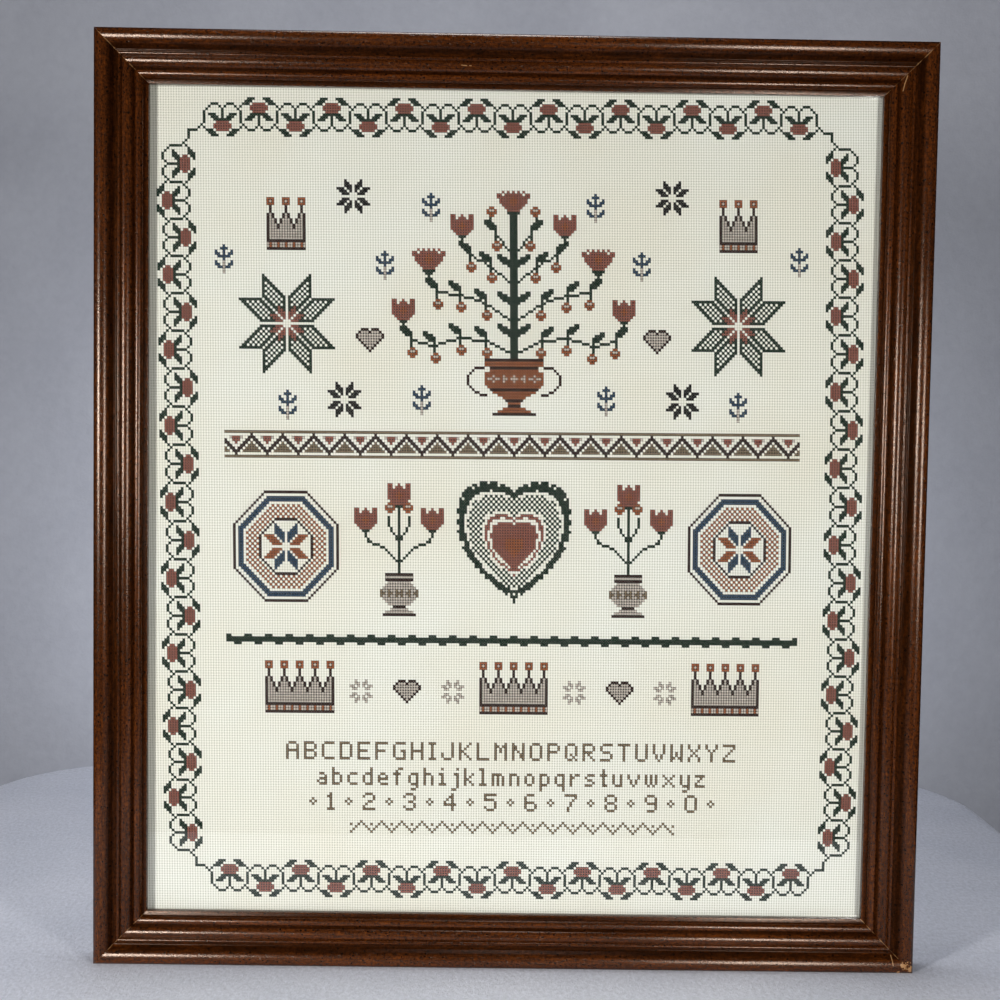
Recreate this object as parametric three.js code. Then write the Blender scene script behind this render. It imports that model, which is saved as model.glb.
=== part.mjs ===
// A framed cross stitch sampler: four mitred moulding rails round a glass pane, the stretched
// embroidery cloth behind it and the backing board that holds the cloth flat.
// Millimetres, +Z up. The frame stands on its bottom rail with its face towards -Y, and the
// origin is under the middle of that rail, halfway through the frame's depth.
import * as THREE from "three";

// Driving dimensions
const FRAME_WIDTH = 569; // over the outer edges
const FRAME_HEIGHT = 639;
const FRAME_DEPTH = 27; // crown of the outer bead to the back
const FACE_WIDTH = 35; // outer edge to sight edge, a 1 3/8 inch moulding
const REBATE_WIDTH = 6.35; // how far the lip covers the glass
const REBATE_FLOOR = 16.2; // depth from the crown to the seat of the glass
const GLASS_THICKNESS = 2;
const CLOTH_THICKNESS = 1;
const BOARD_THICKNESS = 3.2;
const SEAT_GAP = 0.3; // between two pieces that lie face to face
const EDGE_GAP = 0.5; // round the pane, cloth and board in the rebate
const ARC_STEPS = 7; // chords on a half of each arc of the moulding

// The moulding's section, from the outer edge inwards. Each round member has its centre
// (distance from the outer edge, depth from the crown), its radius and the tilts of its surface
// at its two ends in degrees, 0 facing forwards and positive facing the picture.
const OUTER_BEAD = { across: 6, deep: 6.8, radius: 6.8, from: -61.92, to: 50 };
const HOLLOW = { across: 14.15, deep: 3, radius: 1.9, from: 50, to: -25 };
const SMALL_BEAD = { across: 16.55, deep: 5.4, radius: 1.3, from: -62, to: 65 };
const OGEE = { across: 21, deep: 10.2, radius: 5, from: -35, to: 66 };
const INNER_BEAD = { across: 29, deep: 10.5, radius: 3.1, from: -60, to: 75 };
const LIP = { across: 32.15, deep: 11.4 }; // foot of the inner bead, where the flat lip starts

const radians = THREE.MathUtils.degToRad;

// Adds a round member to the section: a bead bulges forwards, a hollow is cut back. Both run
// inwards, and a straight fillet joins each to the one before it.
function addBead(section, { across, deep, radius, from, to }) {
  section.absarc(across, -deep, radius, radians(90 - from), radians(90 - to), true);
}

function addHollow(section, { across, deep, radius, from, to }) {
  section.absarc(across, -deep, radius, radians(270 - from), radians(270 - to), false);
}

// x runs inwards from the outer edge and y forwards, with 0 at the crown of the outer bead.
function mouldingSection() {
  const rebateWall = FACE_WIDTH - REBATE_WIDTH;
  const section = new THREE.Shape();
  section.moveTo(rebateWall, -FRAME_DEPTH);
  section.lineTo(0, -FRAME_DEPTH);
  addBead(section, OUTER_BEAD);
  addHollow(section, HOLLOW);
  addBead(section, SMALL_BEAD);
  addBead(section, OGEE);
  addBead(section, INNER_BEAD);
  section.lineTo(LIP.across, -LIP.deep);
  section.lineTo(FACE_WIDTH, -LIP.deep);
  section.lineTo(FACE_WIDTH, -REBATE_FLOOR);
  section.lineTo(rebateWall, -REBATE_FLOOR);
  return section;
}

// A rail as long as one side, lying along X with its outer edge at -Z, mitred at both ends.
function railGeometry(length, acrossFrame) {
  const mitreGap = SEAT_GAP / Math.SQRT2;
  const geometry = new THREE.ExtrudeGeometry(mouldingSection(), {
    depth: length,
    steps: 1,
    bevelEnabled: false,
    curveSegments: ARC_STEPS,
  });
  const place = geometry.attributes.position;
  for (let i = 0; i < place.count; i++) {
    const inwards = place.getX(i);
    const forwards = place.getY(i);
    const atFarEnd = place.getZ(i) > length / 2;
    const reach = length / 2 - inwards - mitreGap;
    place.setXYZ(
      i,
      atFarEnd ? reach : -reach,
      -forwards - FRAME_DEPTH / 2,
      inwards - acrossFrame / 2,
    );
  }
  return geometry;
}

const wood = new THREE.MeshStandardMaterial({ color: 0x4a2410, roughness: 0.42, metalness: 0 });
const clearGlass = new THREE.MeshStandardMaterial({
  color: 0xeef4f2,
  roughness: 0.05,
  metalness: 0,
  transparent: true,
  opacity: 0.2,
});
const evenweave = new THREE.MeshStandardMaterial({ color: 0xe6dfc8, roughness: 0.95, metalness: 0 });
const hardboard = new THREE.MeshStandardMaterial({ color: 0x8a6a48, roughness: 0.85, metalness: 0 });

function addRail(frame, name, length, acrossFrame, quarterTurns) {
  const rail = new THREE.Mesh(railGeometry(length, acrossFrame), wood);
  rail.name = name;
  rail.rotation.y = (-quarterTurns * Math.PI) / 2;
  frame.add(rail);
}

// A flat piece that fills the rebate, with its front face at the given depth from the crown.
function addPanel(frame, name, frontDepth, thickness, material) {
  const clearance = 2 * (FACE_WIDTH - REBATE_WIDTH + EDGE_GAP);
  const panel = new THREE.Mesh(
    new THREE.BoxGeometry(FRAME_WIDTH - clearance, thickness, FRAME_HEIGHT - clearance),
    material,
  );
  panel.name = name;
  panel.position.y = frontDepth + thickness / 2 - FRAME_DEPTH / 2;
  frame.add(panel);
}

function framedSampler() {
  const frame = new THREE.Group();
  frame.position.z = FRAME_HEIGHT / 2;
  addRail(frame, "rail_bottom", FRAME_WIDTH, FRAME_HEIGHT, 0);
  addRail(frame, "rail_right", FRAME_HEIGHT, FRAME_WIDTH, 1);
  addRail(frame, "rail_top", FRAME_WIDTH, FRAME_HEIGHT, 2);
  addRail(frame, "rail_left", FRAME_HEIGHT, FRAME_WIDTH, 3);

  const glassFront = REBATE_FLOOR + SEAT_GAP;
  const clothFront = glassFront + GLASS_THICKNESS + SEAT_GAP;
  const boardFront = clothFront + CLOTH_THICKNESS + SEAT_GAP;
  addPanel(frame, "glass", glassFront, GLASS_THICKNESS, clearGlass);
  addPanel(frame, "cloth", clothFront, CLOTH_THICKNESS, evenweave);
  addPanel(frame, "backing_board", boardFront, BOARD_THICKNESS, hardboard);

  const part = new THREE.Group();
  part.add(frame);
  return part;
}

const part = framedSampler();
export default part;
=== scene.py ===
import math
import random

import bmesh
import bpy
from mathutils import Matrix, Vector


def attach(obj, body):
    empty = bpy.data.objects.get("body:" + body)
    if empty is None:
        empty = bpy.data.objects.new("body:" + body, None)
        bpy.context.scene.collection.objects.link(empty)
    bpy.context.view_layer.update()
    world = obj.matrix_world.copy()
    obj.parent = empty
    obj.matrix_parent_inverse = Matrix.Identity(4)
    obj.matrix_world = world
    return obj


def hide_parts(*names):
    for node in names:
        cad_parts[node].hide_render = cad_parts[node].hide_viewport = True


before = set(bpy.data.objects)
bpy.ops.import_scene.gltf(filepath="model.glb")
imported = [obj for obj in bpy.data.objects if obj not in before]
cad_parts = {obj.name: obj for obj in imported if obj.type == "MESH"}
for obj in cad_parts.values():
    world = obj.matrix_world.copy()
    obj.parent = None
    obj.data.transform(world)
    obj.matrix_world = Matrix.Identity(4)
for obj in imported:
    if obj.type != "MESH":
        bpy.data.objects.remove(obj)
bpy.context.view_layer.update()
print("cad frame loaded")

mm = 0.001
frameSize = {"width": 569 * mm, "height": 639 * mm, "depth": 27 * mm}
middle = frameSize["height"] / 2


def linear(red, green, blue):
    # a colour given as screen values from 0 to 255
    return tuple(((c / 255 + 0.055) / 1.055) ** 2.4 if c > 10 else c / 255 / 12.92
                 for c in (red, green, blue)) + (1.0,)


def makePiece(name, mesh, *materials):
    piece = bpy.data.objects.new(name, mesh)
    bpy.context.scene.collection.objects.link(piece)
    for material in materials:
        mesh.materials.append(material)
    return piece


def meshFrom(name, work):
    mesh = bpy.data.meshes.new(name)
    work.to_mesh(mesh)
    work.free()
    return mesh


class Nodes:
    # builds one material's node tree, one node a call
    def __init__(self, name):
        self.material = bpy.data.materials.new(name)
        self.material.use_nodes = True
        self.tree = self.material.node_tree
        self.shader = self.tree.nodes["Principled BSDF"]
        self.output = self.tree.nodes["Material Output"]

    def add(self, kind, *links, **settings):
        node = self.tree.nodes.new("ShaderNode" + kind)
        for key, value in settings.items():
            setattr(node, key, value)
        for socket, source in links:
            self.join(source, node.inputs[socket])
        return node

    def join(self, source, socket):
        if hasattr(source, "outputs"):
            source = source.outputs[0]
        if isinstance(source, bpy.types.NodeSocket):
            self.tree.links.new(source, socket)
        else:
            socket.default_value = source

    def math(self, operation, *values):
        node = self.add("Math", operation=operation)
        for socket, value in zip(node.inputs, values):
            self.join(value, socket)
        return node

    def mix(self, factor, first, second, blend="MIX"):
        node = self.add("Mix", data_type="RGBA", blend_type=blend)
        self.join(factor, node.inputs[0])
        self.join(first, node.inputs[6])
        self.join(second, node.inputs[7])
        return node.outputs[2]

    def ramp(self, source, stops):
        node = self.add("ValToRGB", (0, source))
        elements = node.color_ramp.elements
        while len(elements) < len(stops):
            elements.new(0.5)
        for element, (place, colour) in zip(elements, stops):
            element.position = place
            element.color = colour if isinstance(colour, tuple) else (colour, colour, colour, 1)
        return node

    def noise(self, vector, scale, detail=2.0, rough=0.5):
        return self.add("TexNoise", ("Vector", vector), ("Scale", scale), ("Detail", detail),
                        ("Roughness", rough))

    def stretched(self, vector, scale):
        return self.add("Mapping", ("Vector", vector), ("Scale", scale))

    def nearer(self, place, spot, reach):
        # 1 within this reach of a spot
        gap = self.add("VectorMath", (0, place), (1, spot), operation="DISTANCE").outputs["Value"]
        return self.math("LESS_THAN", gap, reach)

    def nearLine(self, place, start, end, reach):
        # 1 within this reach of a straight line between two places
        along = Vector(end) - Vector(start)
        offset = self.add("VectorMath", (0, place), (1, start), operation="SUBTRACT")
        dot = self.add("VectorMath", (0, offset), (1, tuple(along)), operation="DOT_PRODUCT")
        share = self.math("DIVIDE", dot.outputs["Value"], along.length_squared)
        share.use_clamp = True
        foot = self.add("VectorMath", (0, tuple(along)), ("Scale", share), operation="SCALE")
        rest = self.add("VectorMath", (0, offset), (1, foot), operation="SUBTRACT")
        gap = self.add("VectorMath", (0, rest), operation="LENGTH").outputs["Value"]
        return self.math("LESS_THAN", gap, reach)


cameraPlace = {
    "location": (-17.5 * mm, -1032.3 * mm, 380.8 * mm),
    "pitchDown": 3.085,
    "yawRight": 0.554,
    "roll": 0.882,
    "lens": 54.0,
}


def makeCamera():
    camera = bpy.data.objects.new("camera", bpy.data.cameras.new("camera"))
    camera.data.lens = cameraPlace["lens"]
    camera.data.sensor_width = 36.0
    camera.data.clip_start = 0.01
    camera.location = cameraPlace["location"]
    turn = (Matrix.Rotation(math.radians(-cameraPlace["yawRight"]), 4, "Z")
            @ Matrix.Rotation(math.radians(90 - cameraPlace["pitchDown"]), 4, "X")
            @ Matrix.Rotation(math.radians(cameraPlace["roll"]), 4, "Z"))
    camera.rotation_euler = turn.to_euler()
    bpy.context.scene.collection.objects.link(camera)
    bpy.context.scene.camera = camera


# the far edges of the tabletop, the wall behind it and their colours
studio = {
    "tableRight": 0.49,
    "tableLeft": -0.535,
    "tableBack": 0.62,
    "tableFront": -0.34,
    "tableCorner": 0.17,
    "tableRim": 0.03,
    "tableDrop": 0.5,
    "wallBehind": 0.66,
    "wallReach": 6.0,
    "floorColour": linear(224, 226, 236),
    "floorShade": linear(213, 216, 227),
    "wallColour": linear(190, 193, 203),
    "wallShade": linear(178, 181, 192),
    "worldColour": (0.82, 0.88, 1.0, 1.0),
    "worldStrength": 0.03,
}


def makeTable():
    # a tabletop with round corners, its cloth rolled over the rim
    left, right = studio["tableLeft"], studio["tableRight"]
    front, back = studio["tableFront"], studio["tableBack"]
    work = bmesh.new()
    spots = ((left, front), (right, front), (right, back), (left, back))
    work.faces.new([work.verts.new((x, y, 0)) for x, y in spots])
    bmesh.ops.bevel(work, geom=work.verts[:], offset=studio["tableCorner"], offset_type="OFFSET",
                    segments=12, profile=0.5, affect="VERTICES")
    top = max(work.faces, key=lambda face: face.calc_area())
    pulled = bmesh.ops.extrude_face_region(work, geom=[top])["geom"]
    low = [v for v in pulled if isinstance(v, bmesh.types.BMVert)]
    bmesh.ops.translate(work, verts=low, vec=(0, 0, -studio["tableDrop"]))
    bmesh.ops.recalc_face_normals(work, faces=work.faces)
    rim = [e for e in work.edges if all(v.co.z > -0.01 for v in e.verts)]
    bmesh.ops.bevel(work, geom=rim, offset=studio["tableRim"], offset_type="OFFSET",
                    segments=6, profile=0.5, affect="EDGES")
    mesh = meshFrom("table", work)
    for polygon in mesh.polygons:
        polygon.use_smooth = True
    mesh.set_sharp_from_angle(angle=math.radians(40))
    return makePiece("table", mesh, clothTop())


def makeStudio():
    reach = studio["wallReach"]
    wallWork = bmesh.new()
    bmesh.ops.create_grid(wallWork, x_segments=1, y_segments=1, size=reach)
    bmesh.ops.rotate(wallWork, verts=wallWork.verts, matrix=Matrix.Rotation(math.radians(90), 3, "X"))
    bmesh.ops.translate(wallWork, verts=wallWork.verts, vec=(0, studio["wallBehind"], 0))
    wall = makePiece("wall", meshFrom("wall", wallWork), wallPaint())
    wall.visible_glossy = False
    makeTable()

    world = bpy.data.worlds.new("studio")
    world.use_nodes = True
    sky = world.node_tree.nodes["Background"]
    sky.inputs["Color"].default_value = studio["worldColour"]
    sky.inputs["Strength"].default_value = studio["worldStrength"]
    bpy.context.scene.world = world


def clothTop():
    # the napped tablecloth that the frame stands on
    make = Nodes("pale_tablecloth")
    place = make.add("TexCoord").outputs["Object"]
    nap = make.noise(make.stretched(place, (1, 0.6, 1)), 330.0, 5.0, 0.75)
    soft = make.noise(place, 9.0, 3.0, 0.5)
    tone = make.ramp(soft, [(0.3, studio["floorShade"]), (0.7, studio["floorColour"])])
    level = make.ramp(nap, [(0.3, 0.82), (0.7, 1.12)])
    make.join(make.mix(1.0, tone, level, "MULTIPLY"), make.shader.inputs["Base Color"])
    make.shader.inputs["Roughness"].default_value = 0.95
    make.shader.inputs["Specular IOR Level"].default_value = 0.05
    bump = make.add("Bump", ("Height", nap), ("Strength", 0.7), ("Distance", 0.002))
    make.join(bump, make.shader.inputs["Normal"])
    return make.material


def wallPaint():
    # plaster wall, seen from the front only
    make = Nodes("plaster_wall")
    place = make.add("TexCoord").outputs["Object"]
    broad = make.noise(place, 7.0, 2.0, 0.5)
    grain = make.noise(place, 95.0, 5.0, 0.7)
    both = make.math("ADD", make.math("MULTIPLY", broad, 0.5), make.math("MULTIPLY", grain, 0.5))
    tone = make.ramp(both, [(0.35, studio["wallShade"]), (0.65, studio["wallColour"])])
    make.join(tone, make.shader.inputs["Base Color"])
    make.shader.inputs["Roughness"].default_value = 0.9
    make.shader.inputs["Specular IOR Level"].default_value = 0.1
    bump = make.add("Bump", ("Height", grain), ("Strength", 0.45), ("Distance", 0.002))
    make.join(bump, make.shader.inputs["Normal"])
    behind = make.add("NewGeometry").outputs["Backfacing"]
    clear = make.add("BsdfTransparent")
    either = make.add("MixShader")
    make.join(behind, either.inputs[0])
    make.join(make.shader.outputs[0], either.inputs[1])
    make.join(clear, either.inputs[2])
    make.join(either, make.output.inputs["Surface"])
    return make.material


# each lamp: place, point it aims at, width and height, power, spread in degrees
lamps = {
    "lampLeft": ((-0.98, -1.26, 0.47), (-0.05, 0, 0.10), (0.15, 0.42), 10.1, 130),
    "lampRight": ((0.64, -1.18, 0.34), (0.05, 0, 0.10), (0.14, 0.48), 9.9, 180),
    "lampAbove": ((-0.10, 0.10, 1.90), (-0.08, 0.15, 0), (0.7, 0.4), 1.8, 62),
    "lampWall": ((0.0, 0.27, 0.20), (0.0, 0.66, 0.25), (0.46, 0.26), 1.35, 140),
    "lampBack": ((0.4, 1.9, 1.3), (0, 0, 0.3), (1.2, 0.8), 9.0, 180),
}
lampColours = {"front": (1.0, 0.985, 0.97), "behind": (0.93, 0.96, 1.0)}


def makeLamps():
    for name, (place, aim, size, power, spread) in lamps.items():
        data = bpy.data.lights.new(name, "AREA")
        data.shape = "RECTANGLE"
        data.size, data.size_y = size
        data.energy = power
        data.spread = math.radians(spread)
        data.color = lampColours["front" if place[1] < 0 else "behind"]
        lamp = bpy.data.objects.new(name, data)
        lamp.visible_camera = False
        lamp.location = place
        lamp.rotation_euler = (Vector(aim) - Vector(place)).to_track_quat("-Z", "Y").to_euler()
        bpy.context.scene.collection.objects.link(lamp)


moulding = {
    "face": 35 * mm,
    "rebateWidth": 6.35 * mm,
    "rebateFloor": 16.2 * mm,
    "mitreGap": 0.06 * mm / math.sqrt(2),
    "arcSteps": 18,
    "edgeRound": 0.25 * mm,
    # across and deep of the centre, radius, tilt at the start and end of each round member
    "outerBead": (6, 6.8, 6.8, -61.92, 50),
    "hollow": (14.15, 3, -1.9, 50, -25),
    "smallBead": (16.55, 5.4, 1.3, -62, 65),
    "ogee": (21, 10.2, 5, -35, 66),
    "innerBead": (29, 10.5, 3.1, -60, 75),
    "lip": (32.15, 11.4),
}


def mouldingSection():
    # points (across, deep) round the section, from the rebate's back corner
    face = moulding["face"] / mm
    wall = face - moulding["rebateWidth"] / mm
    depth = frameSize["depth"] / mm
    floor = moulding["rebateFloor"] / mm
    points = [(wall, depth), (0, depth)]
    for member in ("outerBead", "hollow", "smallBead", "ogee", "innerBead"):
        across, deep, radius, start, end = moulding[member]
        steps = moulding["arcSteps"]
        for i in range(steps + 1):
            tilt = math.radians(start + (end - start) * i / steps)
            points.append((across + radius * math.sin(tilt), deep - radius * math.cos(tilt)))
    lipAcross, lipDeep = moulding["lip"]
    points += [(lipAcross, lipDeep), (face, lipDeep), (face, floor), (wall, floor)]
    return [(across * mm, deep * mm) for across, deep in points]


def everything(work):
    return work.verts[:] + work.edges[:] + work.faces[:]


def makeRail(name, length, acrossFrame, quarterTurns, wood):
    # modelled as a bottom rail, mitred at both ends, then turned about the frame's middle
    half = frameSize["depth"] / 2
    work = bmesh.new()
    ring = [work.verts.new((-length, deep - half, across)) for across, deep in mouldingSection()]
    end = work.faces.new(ring)
    pulled = bmesh.ops.extrude_face_region(work, geom=[end])["geom"]
    far = [v for v in pulled if isinstance(v, bmesh.types.BMVert)]
    bmesh.ops.translate(work, verts=far, vec=(2 * length, 0, 0))
    for side in (-1, 1):
        corner = (side * (length / 2 - moulding["mitreGap"]), 0, 0)
        cut = bmesh.ops.bisect_plane(work, geom=everything(work), plane_co=corner,
                                     plane_no=(side, 0, 1), clear_outer=True)["geom_cut"]
        rim = [e for e in cut if isinstance(e, bmesh.types.BMEdge)]
        bmesh.ops.contextual_create(work, geom=rim)
    bmesh.ops.recalc_face_normals(work, faces=work.faces)
    sharp = [e for e in work.edges if e.calc_face_angle(0) > math.radians(22)
             and min(v.co.y for v in e.verts) < half - 1 * mm]
    bmesh.ops.bevel(work, geom=sharp, offset=moulding["edgeRound"], offset_type="OFFSET",
                    segments=2, profile=0.5, affect="EDGES", clamp_overlap=True, material=-1)
    bmesh.ops.recalc_face_normals(work, faces=work.faces)

    # along and across the moulding, which the grain follows, and how far the two mitres are
    uv = work.loops.layers.uv.new("grain")
    mitres = work.loops.layers.uv.new("mitres")
    crown = half - frameSize["depth"]
    for face in work.faces:
        for loop in face.loops:
            x, y, z = loop.vert.co
            across = z
            if abs(face.normal.z) > 0.8:
                across += (y - crown) * (-1 if z < 5 * mm else 1)
            loop[uv].uv = (x + 2 * quarterTurns, across)
            loop[mitres].uv = [length / 2 - z - moulding["mitreGap"] + side * x for side in (-1, 1)]
    bmesh.ops.translate(work, verts=work.verts, vec=(0, 0, -acrossFrame / 2))
    bmesh.ops.rotate(work, verts=work.verts,
                     matrix=Matrix.Rotation(-quarterTurns * math.pi / 2, 3, "Y"))
    bmesh.ops.translate(work, verts=work.verts, vec=(0, 0, middle))
    mesh = meshFrom(name, work)
    mesh.set_sharp_from_angle(angle=math.radians(40))
    for polygon in mesh.polygons:
        polygon.use_smooth = True
    rail = makePiece(name, mesh, wood)
    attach(rail, "root")
    return rail


woodFinish = {
    "light": linear(88, 42, 9),
    "body": linear(60, 27, 5),
    "dark": linear(38, 14, 2),
    # the colour of the painted shade in the hollows and at the edges
    "recessShade": linear(22, 8, 2),
    "pore": linear(9, 4, 2),
    "raw": linear(182, 138, 92),
    "shine": linear(255, 228, 208),
    "roughness": (0.15, 0.27),
    # how much painted shade darkens the wood, across the face from the outer edge to the sight edge
    "paintedShade": ((0.0, 0.6), (0.06, 0.0), (0.24, 0.1), (0.32, 0.9), (0.44, 0.85), (0.47, 0.1),
                 (0.51, 0.5), (0.55, 0.1), (0.69, 0.1), (0.745, 0.95), (0.79, 0.05), (0.86, 0.05),
                 (0.91, 0.9), (0.95, 0.7), (0.985, 0.3)),
    "scratches": (((-0.038, 0, 0.6183), (-0.0345, 0, 0.6180)), ((-0.0325, 0, 0.6181), (-0.0315, 0, 0.6180)),
                  ((0.2615, 0, 0.6110), (0.2632, 0, 0.6165)), ((0.2606, 0, 0.6065), (0.2615, 0, 0.6110)),
                  ((0.2700, 0, 0.0065), (0.2690, 0, 0.0125))),
    "scratchReach": 0.3 * mm,
    "wornCorner": (0.2815, -0.009, 0.003),
    "cornerReach": 9 * mm,
    "mitreReach": 0.42 * mm,
    "grainDepth": 0.12 * mm,
    "rippleDepth": 0.04 * mm,
    "fullShine": 0.54,
}


def stainedWood():
    make = Nodes("stained_wood")
    shader = make.shader
    grainMap = make.add("UVMap", uv_map="grain")
    place = make.add("TexCoord").outputs["Object"]
    # long streaks of grain, with a fine mottle over them
    broad = make.noise(make.stretched(grainMap, (9, 130, 1)), 1.0, 4.0, 0.6)
    fine = make.noise(make.stretched(grainMap, (90, 900, 1)), 1.0, 4.0, 0.7)
    mottle = make.noise(make.stretched(grainMap, (430, 560, 1)), 1.0, 4.0, 0.8)
    lacquer = make.noise(make.stretched(grainMap, (2200, 3200, 1)), 1.0, 1.0, 0.5)
    streaks = make.math("ADD", make.math("MULTIPLY", broad, 0.45), make.math("MULTIPLY", fine, 0.55))
    colour = make.ramp(streaks, [(0.34, woodFinish["dark"]), (0.50, woodFinish["body"]),
                                 (0.66, woodFinish["light"])])
    colour = make.mix(1.0, colour, make.ramp(mottle, [(0.37, 0.30), (0.63, 1.85)]), "MULTIPLY")
    # painted shade in the hollows and at the edges of the moulding
    across = make.add("SeparateXYZ", (0, grainMap)).outputs["Y"]
    face = make.math("DIVIDE", across, moulding["face"])
    paintedShade = make.ramp(face, woodFinish["paintedShade"])
    uneven = make.ramp(make.noise(make.stretched(grainMap, (35, 350, 1)), 1.0, 3.0, 0.6),
                       [(0.3, 0.5), (0.7, 1.0)])
    colour = make.mix(make.math("MULTIPLY", paintedShade, uneven), colour, woodFinish["recessShade"])
    # short pores along the grain and small round specks
    pores = make.noise(make.stretched(grainMap, (260, 2300, 1)), 1.0, 2.0, 0.5)
    poreMask = make.ramp(pores, [(0.64, 0.0), (0.70, 0.8)])
    colour = make.mix(poreMask, colour, woodFinish["pore"])
    cells = make.add("TexVoronoi", ("Vector", make.stretched(grainMap, (0.7, 1, 1))), ("Scale", 215.0),
                     voronoi_dimensions="2D")
    speckMask = make.math("MULTIPLY", make.math("LESS_THAN", cells.outputs["Distance"], 0.115),
                          make.math("GREATER_THAN", make.noise(grainMap, 90.0), 0.49))
    colour = make.mix(make.math("MULTIPLY", speckMask, 0.9), colour, woodFinish["pore"])
    # bare wood along the mitres, at the worn corner and in a few scratches
    mitres = make.add("SeparateXYZ", (0, make.add("UVMap", uv_map="mitres")))
    toMitre = make.math("MINIMUM", mitres.outputs["X"], mitres.outputs["Y"])
    chipped = make.noise(place, 260.0, 3.0, 0.6)
    reach = make.math("MULTIPLY", make.ramp(chipped, [(0.42, 0.0), (0.62, 1.0)]),
                      woodFinish["mitreReach"])
    bare = make.math("LESS_THAN", toMitre, reach)
    nearCorner = make.nearer(place, woodFinish["wornCorner"], woodFinish["cornerReach"])
    corner = make.math("MULTIPLY", nearCorner, make.math("GREATER_THAN", chipped, 0.56))
    bare = make.math("MAXIMUM", make.math("MULTIPLY", bare, 0.5), make.math("MULTIPLY", corner, 0.75))
    flat = make.add("VectorMath", (0, place), (1, (1, 0, 1)), operation="MULTIPLY")
    for start, end in woodFinish["scratches"]:
        scratch = make.nearLine(flat, start, end, woodFinish["scratchReach"])
        bare = make.math("MAXIMUM", bare, make.math("MULTIPLY", scratch, 0.6))
    colour = make.mix(bare, colour, woodFinish["raw"])
    make.join(colour, shader.inputs["Base Color"])
    low, high = woodFinish["roughness"]
    rough = make.ramp(mottle, [(0.3, high), (0.7, low)])
    make.join(rough, shader.inputs["Roughness"])
    # less shine where the painted shade lies, as if the hollows were shadowed
    fullShine = woodFinish["fullShine"]
    shine = make.math("SUBTRACT", fullShine, make.math("MULTIPLY", paintedShade, fullShine))
    make.join(shine, shader.inputs["Specular IOR Level"])
    shader.inputs["Specular Tint"].default_value = woodFinish["shine"]
    height = make.math("SUBTRACT", make.math("ADD", make.math("MULTIPLY", fine, 0.15),
                                             make.math("MULTIPLY", mottle, 0.85)), poreMask)
    bump = make.add("Bump", ("Height", height), ("Strength", 0.5),
                    ("Distance", woodFinish["grainDepth"]))
    ripple = make.add("Bump", ("Height", lacquer), ("Strength", 1.0),
                      ("Distance", woodFinish["rippleDepth"]), ("Normal", bump))
    make.join(ripple, shader.inputs["Normal"])
    return make.material


def makeFrame():
    wood = stainedWood()
    width, height = frameSize["width"], frameSize["height"]
    rails = (("rail_bottom", width, height, 0), ("rail_right", height, width, 1),
             ("rail_top", width, height, 2), ("rail_left", height, width, 3))
    for node, length, acrossFrame, turns in rails:
        rail = makeRail("moulding_" + node[5:], length, acrossFrame, turns, wood)
        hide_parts(node)


glassFinish = {
    "roughness": 0.015,
    "tint": (0.995, 1.0, 0.995, 1),
    "index": 1.5,
    "bothFaces": 1.8,     # how much more two faces reflect than one
}


def clearGlass():
    make = Nodes("clear_glass")
    gloss = make.add("BsdfAnisotropic", ("Roughness", glassFinish["roughness"]))
    clear = make.add("BsdfTransparent", (0, glassFinish["tint"]))
    edge = make.add("Fresnel", ("IOR", glassFinish["index"]))
    # the two faces reflect together, at the face where the light comes in
    inside = make.add("NewGeometry").outputs["Backfacing"]
    bothFaces = glassFinish["bothFaces"]
    outside = make.math("SUBTRACT", bothFaces, make.math("MULTIPLY", inside, bothFaces))
    pane = make.add("MixShader")
    make.join(make.math("MULTIPLY", edge, outside), pane.inputs[0])
    make.join(clear, pane.inputs[1])
    make.join(gloss, pane.inputs[2])
    make.join(pane, make.output.inputs["Surface"])
    return make.material


board = {"light": linear(142, 108, 74), "dark": linear(92, 66, 42), "roughness": 0.8}


def hardboard():
    make = Nodes("hardboard")
    place = make.add("TexCoord").outputs["Object"]
    fibre = make.noise(place, 900.0, 4.0, 0.7)
    patch = make.noise(place, 14.0, 3.0, 0.5)
    both = make.math("ADD", make.math("MULTIPLY", fibre, 0.6), make.math("MULTIPLY", patch, 0.4))
    tone = make.ramp(both, [(0.35, board["dark"]), (0.65, board["light"])])
    make.join(tone, make.shader.inputs["Base Color"])
    make.shader.inputs["Roughness"].default_value = board["roughness"]
    bump = make.add("Bump", ("Height", fibre), ("Strength", 0.4), ("Distance", 0.0003))
    make.join(bump, make.shader.inputs["Normal"])
    return make.material


def setMaterial(node, material):
    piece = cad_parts[node]
    piece.data.materials.clear()
    piece.data.materials.append(material)


# where the counted grid lies on the cloth: x and height above the frame's middle
clothGrid = {
    "columns": 260,
    "rows": 288,
    "topLeft": (-233.0 * mm, 264.1 * mm),
    "topRight": (224.6 * mm, 269.1 * mm),
    "bottomLeft": (-225.0 * mm, -262.9 * mm),
    "bottomRight": (232.5 * mm, -261.1 * mm),
    "middleRowsApart": 2.8 * mm,
    "rightEdgeBow": 2.3 * mm,
    "middleColumnsRight": 1.5 * mm,
}
clothSheet = {
    "width": 510.7 * mm,
    "height": 580.7 * mm,
    "front": 5.65 * mm,
    "thickness": 0.6 * mm,
    "margin": 24,
    "step": 4,
}


def onCloth(column, row, lift=0.0):
    across = column / clothGrid["columns"]
    down = row / clothGrid["rows"]
    place = [0.0, 0.0]
    for corner, share in (("topLeft", (1 - across) * (1 - down)), ("topRight", across * (1 - down)),
                          ("bottomLeft", (1 - across) * down), ("bottomRight", across * down)):
        place[0] += clothGrid[corner][0] * share
        place[1] += clothGrid[corner][1] * share
    bulge = 4 * down * (1 - down)
    place[0] += clothGrid["rightEdgeBow"] * bulge * across
    place[0] += clothGrid["middleColumnsRight"] * 4 * across * (1 - across)
    place[1] += clothGrid["middleRowsApart"] * math.sin(2 * math.pi * down)
    return Vector((place[0], clothSheet["front"] - lift, middle + place[1]))


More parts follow.
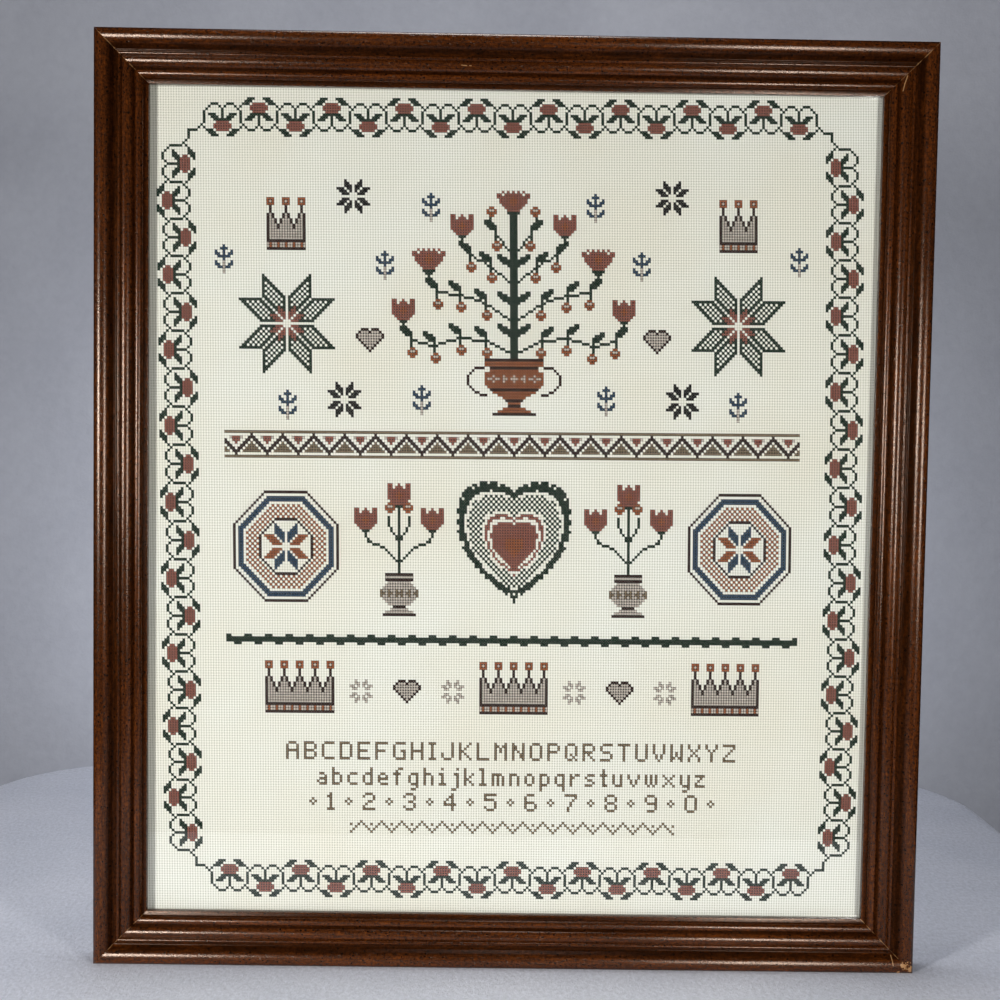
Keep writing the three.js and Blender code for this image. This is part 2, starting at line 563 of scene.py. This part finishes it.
def makeCloth():
    margin, step = clothSheet["margin"], clothSheet["step"]
    columns = clothGrid["columns"] + 2 * margin
    rows = clothGrid["rows"] + 2 * margin
    work = bmesh.new()
    uv = work.loops.layers.uv.new("threads")
    bmesh.ops.create_grid(work, x_segments=columns // step, y_segments=rows // step, size=0.5)
    for vert in work.verts:
        vert.co = (vert.co.x * columns + clothGrid["columns"] / 2,
                   -vert.co.y * rows + clothGrid["rows"] / 2, 0)
    for face in work.faces:
        for loop in face.loops:
            loop[uv].uv = (loop.vert.co.x, -loop.vert.co.y)
    for vert in work.verts:
        vert.co = onCloth(vert.co.x, vert.co.y)
    halfWidth, halfHeight = clothSheet["width"] / 2, clothSheet["height"] / 2
    for side in (-1, 1):
        bmesh.ops.bisect_plane(work, geom=everything(work), plane_co=(side * halfWidth, 0, 0),
                               plane_no=(side, 0, 0), clear_outer=True)
        bmesh.ops.bisect_plane(work, geom=everything(work),
                               plane_co=(0, 0, middle + side * halfHeight),
                               plane_no=(0, 0, side), clear_outer=True)
    bmesh.ops.recalc_face_normals(work, faces=work.faces)
    if sum(face.normal.y for face in work.faces) > 0:
        bmesh.ops.reverse_faces(work, faces=work.faces)
    cloth = makePiece("evenweave_cloth", meshFrom("evenweave_cloth", work), evenweave())
    thick = cloth.modifiers.new("thickness", "SOLIDIFY")
    thick.thickness = clothSheet["thickness"]
    thick.offset = -1
    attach(cloth, "root")
    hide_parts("cloth")


weave = {
    "thread": linear(241, 241, 234),
    "warm": linear(239, 236, 224),
    # painted shade in the grooves between blocks of threads and in the holes at their corners
    "gap": linear(186, 183, 164),
    "grooveShadeShare": 0.42,
    "hole": linear(116, 112, 94),
    "holeShadeShare": 0.9,
    "strands": 4,     # to a block, each way
}


def evenweave():
    make = Nodes("evenweave_cloth")
    threads = make.add("UVMap", uv_map="threads")
    split = make.add("SeparateXYZ", (0, threads))
    across, down = split.outputs["X"], split.outputs["Y"]

    def seam(value, power):
        # 1 along the line between two blocks of threads, 0 in the middle of a block
        wave = make.math("ABSOLUTE", make.math("SINE", make.math("MULTIPLY", value, math.pi)))
        return make.math("POWER", wave, power)

    def strand(value):
        return make.math("SINE", make.math("MULTIPLY", value, 2 * weave["strands"] * math.pi))

    seamAcross, seamDown = seam(across, 5.0), seam(down, 5.0)
    hole = make.math("MULTIPLY", seam(across, 7.0), seam(down, 7.0))
    grooves = make.math("MAXIMUM", seamAcross, make.math("MULTIPLY", seamDown, 0.8))
    fine = make.math("MULTIPLY", strand(across), strand(down))
    place = make.add("TexCoord").outputs["Object"]
    blotch = make.noise(place, 9.0, 3.0, 0.5)
    colour = make.ramp(blotch, [(0.35, weave["warm"]), (0.62, weave["thread"])])
    # painted shade along the grooves between blocks of threads and in the holes
    colour = make.mix(make.math("MULTIPLY", grooves, weave["grooveShadeShare"]), colour, weave["gap"])
    colour = make.mix(make.math("MULTIPLY", hole, weave["holeShadeShare"]), colour, weave["hole"])
    make.join(colour, make.shader.inputs["Base Color"])
    make.shader.inputs["Roughness"].default_value = 0.92
    make.shader.inputs["Specular IOR Level"].default_value = 0.15
    make.shader.inputs["Sheen Weight"].default_value = 0.15
    height = make.math("SUBTRACT", make.math("MULTIPLY", fine, 0.12), make.math("ADD", grooves, hole))
    bump = make.add("Bump", ("Height", height), ("Strength", 0.35), ("Distance", 0.0003))
    make.join(bump, make.shader.inputs["Normal"])
    return make.material


# every stitch of the embroidery: (column, row) to a thread's letter
chart = {}

borderUnit = """
..............
..............
...ggg...ggg..
g.g...g.g...g.
.g.....g.....g
g......g......
g.ggg..g..ggg.
g..ggg.g.ggg..
g...ggggggg...
g....rrrrr....
....rrrrrrr...
g...rrrrrrr...
.ggg.rrrrr.ggg
..ggg.....ggg.
...ggg...ggg..
""".split()
# the first stitch of a band, the stitches in a unit, and the units across and down the cloth
borderPlan = {"start": 11, "unit": 14, "across": 17, "down": 19}


def chartBorder():
    border = {}
    lastColumn, lastRow = clothGrid["columns"], clothGrid["rows"]

    def band(units, place):
        # place turns (along, inwards) of a band into a column and row
        reach = len(borderUnit) // 2
        for unit in range(units):
            facing = 1 if unit % 2 == 0 else -1
            for i, line in enumerate(borderUnit):
                for j, thread in enumerate(line):
                    outerEnd = unit == j == 0 and i == 3
                    if thread != "." and not outerEnd:
                        along = borderPlan["start"] + unit * borderPlan["unit"] + j
                        border[place(along, facing * (i - reach))] = thread
        for inwards in (-2, -1, 0, 1, 2, 4):
            border[place(borderPlan["start"] + units * borderPlan["unit"], inwards)] = "g"

    band(borderPlan["across"], lambda along, inwards: (along, inwards))
    band(borderPlan["across"], lambda along, inwards: (along, lastRow - inwards))
    band(borderPlan["down"], lambda along, inwards: (inwards, along))
    band(borderPlan["down"], lambda along, inwards: (lastColumn - inwards, along))
    link = [(10, 3), (9, 4), (4, 9), (3, 10)]
    link += [(c, 5) for c in range(5, 9)] + [(5, r) for r in range(6, 9)]
    for column, row in link:
        for c in (column, lastColumn - column):
            for r in (row, lastRow - row):
                border[(c, r)] = "g"
    return border


centreColumn = clothGrid["columns"] // 2
# rows and columns that the motifs share, on the left half of the cloth
layout = {
    "bandsFrom": 18,
    "zigzagTop": 118,
    "starColumn": 42,
    "medallion": (41, 160),
    "vaseColumn": 85,
    "groundRow": 194,
    "crownRow": 214,
    "lastZigzag": (66, 265),
}


def put(column, row, thread):
    # every motif is stitched on both halves of the cloth
    chart[(column, row)] = thread
    chart[(2 * centreColumn - column, row)] = thread


def symmetric(lines):
    # lines that start at the middle of a motif, made whole
    return [line[:0:-1] + line for line in lines]


def stamp(lines, column, row):
    top = row - len(lines) // 2
    for i, line in enumerate(lines):
        for j, thread in enumerate(line):
            if thread != ".":
                put(column - len(line) // 2 + j, top + i, thread)


def vine(points, thread="g"):
    for (c0, r0), (c1, r1) in zip(points, points[1:]):
        steps = max(abs(c1 - c0), abs(r1 - r0))
        for i in range(steps + 1):
            put(round(c0 + (c1 - c0) * i / steps), round(r0 + (r1 - r0) * i / steps), thread)


def offsets(reach):
    return [(dx, dy) for dx in range(-reach, reach + 1) for dy in range(-reach, reach + 1)]


def star(column, row, arm, upright, level, lattice=False):
    # eight petals, each a slanted block; two threads take turns
    for dx, dy in offsets(2 * arm):
        far, near = max(abs(dx), abs(dy)), min(abs(dx), abs(dy))
        if 0 < near <= arm and near < far <= near + arm:
            rim = near in (1, arm) or far in (near + 1, near + arm)
            if rim or not lattice or (dx + dy) % 2 == 0:
                put(column + dx, row + dy, level if abs(dx) > abs(dy) else upright)


def medallion(column, row, reach, rim, ring, lattice):
    # an octagon of lattice round a star
    for dx, dy in offsets(reach):
        size = max(abs(dx), abs(dy), round((abs(dx) + abs(dy)) * 0.72))
        if size == reach:
            put(column + dx, row + dy, rim)
        elif size in (reach - 2, reach - 3):
            put(column + dx, row + dy, ring)
        elif reach - 4 > size > reach - 10 and (dx + dy) % 2 == 0:
            put(column + dx, row + dy, lattice)
        elif size == reach - 10:
            put(column + dx, row + dy, rim)


def heartSize(dx, dy):
    # the size of the smallest heart that takes in this stitch
    for size in range(1, 24):
        x, y = dx / size, -dy / size
        if (x * x + y * y - 1) ** 3 <= x * x * y ** 3:
            return size
    return 99


def leafyHeart(column, row, reach):
    # a leafy edge, a lattice and a plain heart within
    for dx, dy in offsets(2 * reach):
        size = heartSize(dx, dy)
        checked = (dx + dy) % 2 == 0
        spot = column + dx, row + dy
        if size == reach and (dx + dy) % 4 < 2 or reach - 2 <= size < reach:
            put(*spot, "g")
        elif reach - 9 < size < reach - 3 and checked:
            put(*spot, "g")
        elif size == reach - 10 or size < reach - 11 and size > 3:
            put(*spot, "r")
        elif size <= 3:
            put(*spot, "o")


def crown(column, row, points):
    # a taupe crown with a dark outline and rust beads on its points
    half = 3 * (points - 1)
    for dx in range(-half - 1, half + 2):
        rise = 2 * min(dx % 6, -dx % 6)
        for dy in range(rise, 12):
            edge = dy < rise + 2 or abs(dx) == half + 1
            put(column + dx, row - 7 + dy, "d" if edge else "t")
        for dy, thread in ((12, "d"), (13, "t"), (14, "t"), (15, "d")):
            jewel = dy in (13, 14) and dx % 3 == 0
            put(column + dx, row - 7 + dy, "o" if jewel else thread)
        if dx % 6 == 0:
            put(column + dx, row - 8, "d")
            for side, up in offsets(1):
                put(column + dx + side, row - 10 - up, "t" if side == up == 0 else "o")


heart = """
..ddd.ddd..
.dtttdtttd.
dtttttttttd
dtttttttttd
.dtttttttd.
..dtttttd..
...dtttd...
....dtd....
.....d.....
""".split()
tulip = symmetric("""
r..rr
rr.rr
rrrrr
orrrr
oorrr
orrrr
rrrr.
rrr..
gg...
""".split())
carnation = symmetric("""
r.r.r..
rrrr.rr
orrrrrr
oorrrr.
oorrrr.
orrrr..
rrrr...
rrr....
ggg....
gg.....
""".split())
berry = """
.oo.
otto
oooo
.oo.
""".split()
leaf = """
...gg
.gggg
gggg.
ggg..
g....
""".split()
sprig = symmetric("""
b....
bb...
b..b.
b.bb.
bbb..
b....
t..b.
t.bb.
tbb..
t....
t....
""".split())
urn = symmetric("""
dddddddddddd
oooooooooooo
oooooooooooo
dddddddddd..
oooooooooo..
oooooooooooo
toootoootooo
ttottottotto
toootoootooo
oooooooooooo
ooooooooooo.
dddddddddd..
ooooooooo...
ooooooo.....
ooooo.......
dddd........
ooo.........
ddd.........
ooooo.......
ooooooo.....
ddddddddd...
""".split())
vase = symmetric("""
dddddd..
tttttt..
dddddd..
ttttt...
tttttt..
ttttttt.
twttwttw
wwtwwtww
twttwttw
ttttttt.
tttttt..
ttttt...
ddd.....
tttt....
tttttt..
ddddddd.
""".split())


def flower(lines, column, row):
    # a flower that stands on the stitch at this column and row
    stamp(lines, column, row - (len(lines) + 1) // 2)


def branch(path, lines):
    # a stem with a leaf above and a berry below at each of its bends, and a flower at its end
    vine(path)
    flower(lines, *path[-1])
    for column, row in path[1:-1]:
        stamp(leaf, column + 2, row - 3)
        vine([(column, row + 1), (column, row + 2)])
        stamp(berry, column, row + 5)


def chartBouquet():
    stamp(urn, centreColumn, 101)
    vine([(142, 94), (145, 94), (148, 97), (148, 100), (145, 103), (141, 104)], "d")
    for column in (centreColumn, centreColumn + 1):
        vine([(column, 90), (column, 38)])
    flower(carnation, centreColumn, 38)
    branch([(132, 88), (141, 84), (151, 83), (161, 86), (170, 84), (173, 78)], tulip)
    branch([(132, 76), (141, 70), (151, 67), (160, 66), (163, 60)], carnation)
    branch([(132, 62), (139, 56), (147, 52), (150, 46)], tulip)
    branch([(132, 50), (137, 44), (139, 38)], berry)
    for row in (57, 71, 83):
        stamp(leaf, 134, row - 3)


def chartUpperRow():
    chartBouquet()
    column = layout["starColumn"]
    star(column, 78, 9, "g", "g", lattice=True)
    star(column, 78, 3, "r", "r")
    crown(column, 42, 3)
    for column, row in ((68, 30), (64, 106)):
        star(column, row, 3, "k", "k")
    for column, row in ((98, 34), (80, 56), (18, 54), (42, 108), (94, 106)):
        stamp(sprig, column, row)
    stamp(heart, 74, 84)


def chartBand():
    for column in range(layout["bandsFrom"], centreColumn + 1):
        rise = abs((centreColumn - column) % 12 - 6)
        for dy in range(10):
            row = layout["zigzagTop"] + dy
            if dy in (0, 9):
                put(column, row, "w")
            elif dy in (rise + 1, rise + 2):
                put(column, row, "d")
            elif rise + 3 < dy < 8:
                put(column, row, "w")
            elif 1 < dy < rise - 1:
                put(column, row, "r" if rise > 4 else "t")


def chartMiddleRow():
    column, row = layout["medallion"]
    medallion(column, row, 20, "d", "b", "o")
    star(column, row, 4, "b", "o")
    leafyHeart(centreColumn, row, 20)
    stem = layout["vaseColumn"]
    stamp(vase, stem, 178)
    vine([(stem, 169), (stem, 146)])
    for side in (-1, 1):
        outer, inner = stem + 13 * side, stem + 4 * side
        vine([(stem, 166), (stem + 6 * side, 160), (stem + 12 * side, 158), (outer, 155)])
        vine([(stem, 158), (inner, 152), (inner, 149)])
        flower(tulip, outer, 155)
        stamp(berry, inner + (side < 0), 146)
    flower(tulip, stem, 146)


def chartGround():
    # two rows of green with small hummocks above and below
    row = layout["groundRow"]
    for column in range(layout["bandsFrom"], centreColumn + 1):
        step = (centreColumn - column) % 8
        put(column, row, "g")
        put(column, row + 1, "g")
        if step in (0, 1, 7):
            put(column, row - 1, "g")
        if step in (3, 4, 5):
            put(column, row + 2, "g")


def chartLowerRow():
    row = layout["crownRow"]
    crown(centreColumn, row, 5)
    crown(46, row, 5)
    stamp(heart, 88, row)
    for column in (70, 106):
        star(column, row, 2, "t", "t")


alphabet = {
    "A": ".###. #...# #...# ##### #...# #...# #...#",
    "B": "####. #...# #...# ####. #...# #...# ####.",
    "C": ".#### #.... #.... #.... #.... #.... .####",
    "D": "####. #...# #...# #...# #...# #...# ####.",
    "E": "##### #.... #.... ####. #.... #.... #####",
    "F": "##### #.... #.... ####. #.... #.... #....",
    "G": ".#### #.... #.... #..## #...# #...# .####",
    "H": "#...# #...# #...# ##### #...# #...# #...#",
    "I": "### .#. .#. .#. .#. .#. ###",
    "J": "....# ....# ....# ....# #...# #...# .###.",
    "K": "#...# #..#. #.#.. ##... #.#.. #..#. #...#",
    "L": "#.... #.... #.... #.... #.... #.... #####",
    "M": "#...# ##.## #.#.# #.#.# #...# #...# #...#",
    "N": "#...# ##..# ##..# #.#.# #..## #..## #...#",
    "O": ".###. #...# #...# #...# #...# #...# .###.",
    "P": "####. #...# #...# ####. #.... #.... #....",
    "Q": ".###. #...# #...# #...# #.#.# #..#. .##.#",
    "R": "####. #...# #...# ####. #.#.. #..#. #...#",
    "S": ".#### #.... #.... .###. ....# ....# ####.",
    "T": "##### ..#.. ..#.. ..#.. ..#.. ..#.. ..#..",
    "U": "#...# #...# #...# #...# #...# #...# .###.",
    "V": "#...# #...# #...# #...# .#.#. .#.#. ..#..",
    "W": "#...# #...# #...# #.#.# #.#.# ##.## #...#",
    "X": "#...# #...# .#.#. ..#.. .#.#. #...# #...#",
    "Y": "#...# #...# .#.#. ..#.. ..#.. ..#.. ..#..",
    "Z": "##### ....# ...#. ..#.. .#... #.... #####",
    "a": ".... .... .##. ...# .### #..# .###",
    "b": "#... #... ###. #..# #..# #..# ###.",
    "c": ".... .... .### #... #... #... .###",
    "d": "...# ...# .### #..# #..# #..# .###",
    "e": ".... .... .##. #..# #### #... .###",
    "f": "..## .#.. ###. .#.. .#.. .#.. .#..",
    "g": ".... .... .### #..# #..# #..# .### ...# .##.",
    "h": "#... #... ###. #..# #..# #..# #..#",
    "i": ".#. ... ##. .#. .#. .#. ###",
    "j": "..# ... .## ..# ..# ..# ..# ..# ##.",
    "k": "#... #... #..# #.#. ##.. #.#. #..#",
    "l": "##. .#. .#. .#. .#. .#. ###",
    "m": "..... ..... ####. #.#.# #.#.# #.#.# #.#.#",
    "n": ".... .... ###. #..# #..# #..# #..#",
    "o": ".... .... .##. #..# #..# #..# .##.",
    "p": ".... .... ###. #..# #..# #..# ###. #... #...",
    "q": ".... .... .### #..# #..# #..# .### ...# ...#",
    "r": ".... .... #.## ##.. #... #... #...",
    "s": ".... .... .### #... .##. ...# ###.",
    "t": ".#. .#. ### .#. .#. .#. .##",
    "u": ".... .... #..# #..# #..# #..# .###",
    "v": "..... ..... #...# #...# .#.#. .#.#. ..#..",
    "w": "..... ..... #.#.# #.#.# #.#.# #.#.# .#.#.",
    "x": "..... ..... #...# .#.#. ..#.. .#.#. #...#",
    "y": ".... .... #..# #..# #..# #..# .### ...# .##.",
    "z": ".... .... #### ..#. .#.. #... ####",
    "1": ".#. ##. .#. .#. .#. .#. ###",
    "2": ".###. #...# ....# ..##. .#... #.... #####",
    "3": ".###. #...# ....# ..##. ....# #...# .###.",
    "4": "...#. ..##. .#.#. #..#. ##### ...#. ...#.",
    "5": "##### #.... ####. ....# ....# #...# .###.",
    "6": ".###. #.... #.... ####. #...# #...# .###.",
    "7": "##### ....# ...#. ..#.. ..#.. .#... .#...",
    "8": ".###. #...# #...# .###. #...# #...# .###.",
    "9": ".###. #...# #...# .#### ....# ....# .###.",
    "0": ".###. #...# #...# #...# #...# #...# .###.",
    "+": "..... ..... ..#.. .#.#. ..#.. ..... .....",
}
# the signs of each row, its top row on the cloth, and the stitches between two signs
alphabetRows = (
    ("ABCDEFGHIJKLMNOPQRSTUVWXYZ", 234, 2),
    ("abcdefghijklmnopqrstuvwxyz", 244, 2),
    ("+1+2+3+4+5+6+7+8+9+0+", 254, 3),
)


def chartAlphabet():
    for signs, top, space in alphabetRows:
        shapes = [alphabet[sign].split() for sign in signs]
        width = sum(len(shape[0]) + space for shape in shapes) - space
        column = centreColumn - width // 2
        for shape in shapes:
            for i, line in enumerate(shape):
                for j, mark in enumerate(line):
                    if mark == "#":
                        chart[(column + j, top + i)] = "w"
            column += len(shape[0]) + space
    first, top = layout["lastZigzag"]
    for column in range(first, centreColumn + 1):
        rise = abs((centreColumn - column) % 8 - 4)
        put(column, top + rise, "w")
        if rise == 4:
            put(column, top + 1, "w")


def makeChart():
    chartUpperRow()
    chartBand()
    chartMiddleRow()
    chartGround()
    chartLowerRow()
    chartAlphabet()


# one stitch, measured in stitches, and its size
stitch = {
    "threadWidth": 0.68,
    "narrowing": 0.45,
    "lowerLift": 0.16,
    "upperLift": 0.25,
    "reach": 0.49,
    "sunk": 0.02,
    "tilts": (-2.0, 0.0, 2.5),     # degrees
    "size": 1.8 * mm,
}
threads = {
    "g": ("green", linear(9, 46, 30)),
    "r": ("terracotta", linear(160, 95, 81)),
    "b": ("blue", linear(48, 76, 102)),
    "k": ("black", linear(14, 10, 14)),
    "d": ("brown", linear(48, 20, 18)),
    "o": ("rust", linear(168, 94, 54)),
    "t": ("taupe", linear(212, 201, 190)),
    "w": ("umber", linear(140, 121, 98)),
}


def threadMaterial(name, colour):
    make = Nodes("thread_" + name)
    lay = make.add("UVMap", uv_map="strand")
    place = make.add("TexCoord").outputs["Object"]
    tone = make.add("Attribute", attribute_name="tone").outputs["Fac"]
    strands = make.add("TexWave", ("Vector", lay), ("Scale", 2.2), ("Distortion", 0.6),
                       wave_type="BANDS", bands_direction="DIAGONAL")
    wear = make.noise(place, 60.0, 2.0, 0.5)
    shade = make.math("ADD", make.math("MULTIPLY", tone, 0.30), make.math("MULTIPLY", wear, 0.35))
    level = make.ramp(shade, [(0.1, 0.78), (0.6, 1.12)])
    shaded = make.mix(1.0, colour, level, "MULTIPLY")
    # painted shade towards each thread's ends, where it goes down through the cloth between stitches
    endShade = make.ramp(make.math("ABSOLUTE", make.add("SeparateXYZ", (0, lay)).outputs["X"]),
                     [(0.30, 1.0), (0.75, 0.05)])
    shaded = make.mix(1.0, shaded, endShade, "MULTIPLY")
    make.join(shaded, make.shader.inputs["Base Color"])
    make.shader.inputs["Roughness"].default_value = 0.7
    make.shader.inputs["Specular IOR Level"].default_value = 0.12
    bump = make.add("Bump", ("Height", strands), ("Strength", 0.4), ("Distance", 0.0001))
    make.join(bump, make.shader.inputs["Normal"])
    return make.material


def crossStitch(tilt):
    # one stitch, a unit square: two threads from corner to corner, the second over the first
    work = bmesh.new()
    uv = work.loops.layers.uv.new("strand")
    for turn, lift in ((-45, stitch["lowerLift"]), (45, stitch["upperLift"])):
        grid = bmesh.ops.create_grid(work, x_segments=3, y_segments=3, size=0.5)["verts"]
        for vert in grid:
            along, side = vert.co.x * 2, vert.co.y * 2
            for loop in vert.link_loops:
                loop[uv].uv = (along, side)
            bow = math.cos(along * math.pi / 2) ** 0.6 if abs(along) < 0.99 else -0.15
            arch = math.sqrt(max(0.0, 1 - side * side))
            narrow = 1 - stitch["narrowing"] * along * along
            vert.co = (along * stitch["reach"] * math.sqrt(2),
                       side * stitch["threadWidth"] / 2 * narrow,
                       lift * (0.25 + 0.75 * bow) * (0.2 + 0.8 * arch) - stitch["sunk"])
        bmesh.ops.rotate(work, verts=grid, matrix=Matrix.Rotation(math.radians(turn + tilt), 3, "Z"))
    template = meshFrom("stitch_template", work)
    template.attributes.new("tone", "FLOAT", "POINT")
    return template


def makeStitches(name, stitches, thread):
    dice = random.Random(name)
    templates = [crossStitch(tilt) for tilt in stitch["tilts"]]
    work = bmesh.new()
    for column, row in sorted(stitches):
        template = dice.choice(templates)
        count = len(template.vertices)
        template.attributes["tone"].data.foreach_set("value", [dice.random()] * count)
        place = Matrix.Translation((column, row, 0))
        template.transform(place)
        work.from_mesh(template)
        template.transform(place.inverted())
    for vert in work.verts:
        column, row, lift = vert.co
        vert.co = onCloth(column, row, lift * stitch["size"])
    mesh = meshFrom(name, work)
    for polygon in mesh.polygons:
        polygon.use_smooth = True
    piece = makePiece(name, mesh, thread)
    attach(piece, "root")
    for template in templates:
        bpy.data.meshes.remove(template)


def makeEmbroidery():
    border = chartBorder()
    makeChart()
    materials = {letter: threadMaterial(*facts) for letter, facts in threads.items()}
    vines = {place for place, thread in border.items() if thread == "g"}
    flowers = {place for place, thread in border.items() if thread == "r"}
    makeStitches("border_vine", vines, materials["g"])
    makeStitches("border_flowers", flowers, materials["r"])
    for letter, (name, _) in threads.items():
        places = {place for place, thread in chart.items() if thread == letter}
        makeStitches("stitches_" + name, places, materials[letter])
        print("stitched", len(places), name)


makeCamera()
makeStudio()
makeLamps()
print("studio ready")
makeFrame()
print("frame ready")
setMaterial("glass", clearGlass())
setMaterial("backing_board", hardboard())
makeCloth()
print("cloth ready")
makeEmbroidery()
print("embroidery ready")
bpy.context.scene.view_settings.view_transform = "Standard"
